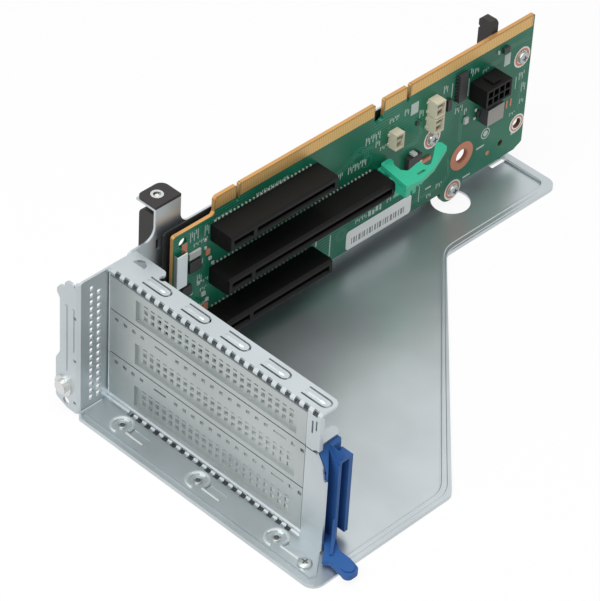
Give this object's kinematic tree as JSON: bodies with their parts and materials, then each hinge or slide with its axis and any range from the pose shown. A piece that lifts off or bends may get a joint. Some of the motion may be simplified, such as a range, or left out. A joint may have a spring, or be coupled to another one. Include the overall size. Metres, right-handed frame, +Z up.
{
  "type": "riser cage bracket",
  "caption": "Folded sheet cage that holds a riser board upright above a tray, with card slots, perforated blank covers, an outer slot latch and a card retainer.",
  "frame": {"origin": "middle of the bounding box in plan, on the tray's flat underside", "axes": "+X from the riser board across the card slots towards the slot latch, +Y from the slot covers back along the board, +Z up from the tray"},
  "size_m": [0.1412, 0.2414, 0.078],
  "materials": {
    "sheet_steel": "zinc-plated, satin",
    "cover_steel": "zinc-plated, satin",
    "blue_moulding": "satin",
    "board_green": "solder mask, semi-gloss",
    "contact_gold": "polished",
    "socket_black": "satin",
    "retainer_green": "satin",
    "header_cream": "satin",
    "chip_black": "matte",
    "coil_grey": "matte",
    "screw_steel": "plain",
    "spacer_brass": "plain",
    "film_black": "matte film",
    "clip_steel": "satin",
    "post_black": "satin",
    "bushing_bright": "bright",
    "label_paper": "matte"
  },
  "bodies": {
    "cage": {"base_tray": "sheet_steel", "slot_frame": "sheet_steel", "slot_cover_bottom": "cover_steel", "slot_cover_middle": "cover_steel", "slot_cover_top": "cover_steel", "riser_board": "board_green", "edge_contacts": "contact_gold", "slot_connector_bottom": "socket_black", "slot_connector_middle": "socket_black", "slot_connector_top": "socket_black", "power_connector": "socket_black", "retainer_post": "retainer_green", "cable_header_a": "header_cream", "cable_header_b": "header_cream", "cable_header_c": "header_cream", "driver_chip": "chip_black", "power_coil": "coil_grey", "board_screws": "screw_steel", "foot_screw": "screw_steel", "flange_screw": "screw_steel", "flange_washer": "screw_steel", "clinch_studs": "screw_steel", "board_standoffs": "spacer_brass", "insulator_sheet": "film_black", "board_clip": "clip_steel", "near_guide_post": "post_black", "far_guide_post": "post_black", "tower_pad": "post_black", "tower_bushing": "bushing_bright", "board_label": "label_paper"},
    "latch": {"slot_latch": "blue_moulding"},
    "retainer": {"card_retainer": "retainer_green"}
  },
  "joints": [
    {"name": "latch_swing", "type": "hinge", "parent": "cage", "child": "latch", "pos_m": [0.0435, -0.0999, 0.023], "axis": [0, 0, 1], "range_deg": [0, 65]},
    {"name": "retainer_swing", "type": "hinge", "parent": "cage", "child": "retainer", "pos_m": [-0.0504, 0.0356, 0.0374], "axis": [0, 0, 1], "range_deg": [0, 8]}
  ]
}
